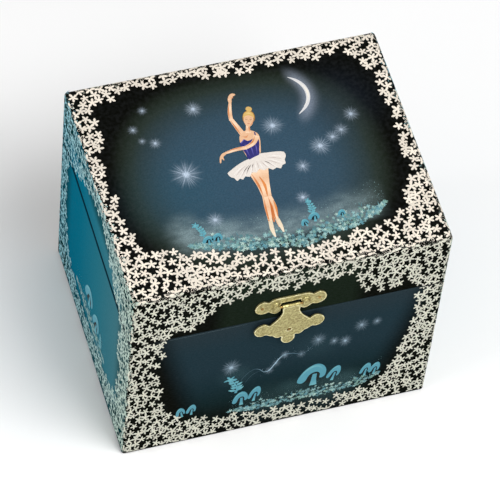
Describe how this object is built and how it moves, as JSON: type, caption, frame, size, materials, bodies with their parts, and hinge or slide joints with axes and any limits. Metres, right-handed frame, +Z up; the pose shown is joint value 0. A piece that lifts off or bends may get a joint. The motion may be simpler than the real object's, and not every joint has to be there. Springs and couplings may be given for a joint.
{
  "type": "musical jewellery box",
  "caption": "Paper-covered musical jewellery box with hinged lid, brass hasp latch, lid mirror and a turning dancer on a wind-up movement.",
  "frame": {"origin": "centre of the case's bottom face, on the surface it stands on; lid closed", "axes": "+X to the right along the width, -Y towards the latch, +Y towards the hinges, +Z up"},
  "size_m": [0.15, 0.1407, 0.13],
  "materials": {
    "night_paper": "printed paper on 3 mm fibreboard, satin",
    "teal_paper": "printed paper on 3 mm fibreboard, satin",
    "blue_flock": "matt flocked fabric",
    "brass": "stamped, bright",
    "steel": "plain",
    "cast_iron": "as cast",
    "mirror": "polished",
    "dancer_plastic": "moulded and painted",
    "tulle": "gathered tulle",
    "wood": "plain"
  },
  "bodies": {
    "case": {"case_front": "night_paper", "case_back": "night_paper", "case_left": "teal_paper", "case_right": "teal_paper", "case_bottom": "night_paper", "divider": "blue_flock", "stage_deck": "blue_flock", "compartment_pad": "blue_flock", "deck_ledge_left": "wood", "deck_ledge_right": "wood", "bedplate": "cast_iron", "bearing_front": "brass", "bearing_rear": "brass", "spindle_bracket": "brass", "comb": "steel", "comb_screw_1": "steel", "comb_screw_2": "steel", "catch_stud": "brass", "hinge_leaf_case_left": "brass", "hinge_leaf_case_right": "brass", "hinge_nail_case_left_1": "brass", "hinge_nail_case_left_2": "brass", "hinge_nail_case_right_1": "brass", "hinge_nail_case_right_2": "brass", "hinge_pin_left": "steel", "hinge_pin_right": "steel"},
    "lid": {"lid_top": "night_paper", "lid_front": "night_paper", "lid_back": "night_paper", "lid_left": "teal_paper", "lid_right": "teal_paper", "mirror": "mirror", "rod_block": "wood", "latch_plate": "brass", "latch_pin": "steel", "latch_nail_1": "brass", "latch_nail_2": "brass", "hinge_leaf_lid_left": "brass", "hinge_leaf_lid_right": "brass", "hinge_nail_lid_left_1": "brass", "hinge_nail_lid_left_2": "brass", "hinge_nail_lid_right_1": "brass", "hinge_nail_lid_right_2": "brass"},
    "hasp": {"hasp": "brass"},
    "dancer": {"spindle": "steel", "spindle_mitre": "brass", "turntable": "blue_flock", "dancer_spring": "steel", "dancer": "dancer_plastic", "tutu": "tulle"},
    "cylinder": {"pinned_cylinder": "brass", "cylinder_wheel": "brass", "cylinder_mitre": "brass"},
    "barrel": {"spring_barrel": "brass", "great_wheel": "brass"},
    "idler": {"idler_wheel": "brass"},
    "fan": {"governor_fan": "brass"},
    "winder": {"winding_arbor": "steel", "winding_key": "steel"},
    "start_rod": {"start_rod": "steel"}
  },
  "joints": [
    {"name": "lid_hinge", "type": "hinge", "parent": "case", "child": "lid", "pos_m": [0, 0.0616, 0.094], "axis": [-1, 0, 0], "range_deg": [0, 100]},
    {"name": "hasp_hinge", "type": "hinge", "parent": "lid", "child": "hasp", "pos_m": [0, -0.0614, 0.104], "axis": [-1, 0, 0], "range_deg": [0, 110]},
    {"name": "barrel_spin", "type": "hinge", "parent": "case", "child": "barrel", "pos_m": [-0.0216, 0, 0.034], "axis": [0, 1, 0], "continuous": true},
    {"name": "cylinder_spin", "type": "hinge", "parent": "case", "child": "cylinder", "pos_m": [0, 0, 0.034], "axis": [0, 1, 0], "continuous": true},
    {"name": "idler_spin", "type": "hinge", "parent": "case", "child": "idler", "pos_m": [0.01287, 0, 0.0448], "axis": [0, 1, 0], "continuous": true},
    {"name": "fan_spin", "type": "hinge", "parent": "case", "child": "fan", "pos_m": [0.02527, 0, 0.04028], "axis": [0, 1, 0], "continuous": true},
    {"name": "dancer_spin", "type": "hinge", "parent": "case", "child": "dancer", "pos_m": [0, 0.022, 0.034], "axis": [0, 0, 1], "continuous": true},
    {"name": "key_turn", "type": "hinge", "parent": "case", "child": "winder", "pos_m": [-0.0216, 0, 0.034], "axis": [0, 1, 0], "continuous": true},
    {"name": "start_rod_slide", "type": "slide", "parent": "case", "child": "start_rod", "axis": [0, 0, 1], "range_m": [0, 0.0045]}
  ],
  "couplings": [
    {"joint": "cylinder_spin", "follows": "barrel_spin", "ratio": -2},
    {"joint": "idler_spin", "follows": "barrel_spin", "ratio": 1.5},
    {"joint": "fan_spin", "follows": "barrel_spin", "ratio": -4},
    {"joint": "dancer_spin", "follows": "barrel_spin", "ratio": 2},
    {"joint": "start_rod_slide", "follows": "lid_hinge", "m_per_rad": 0.0023}
  ]
}
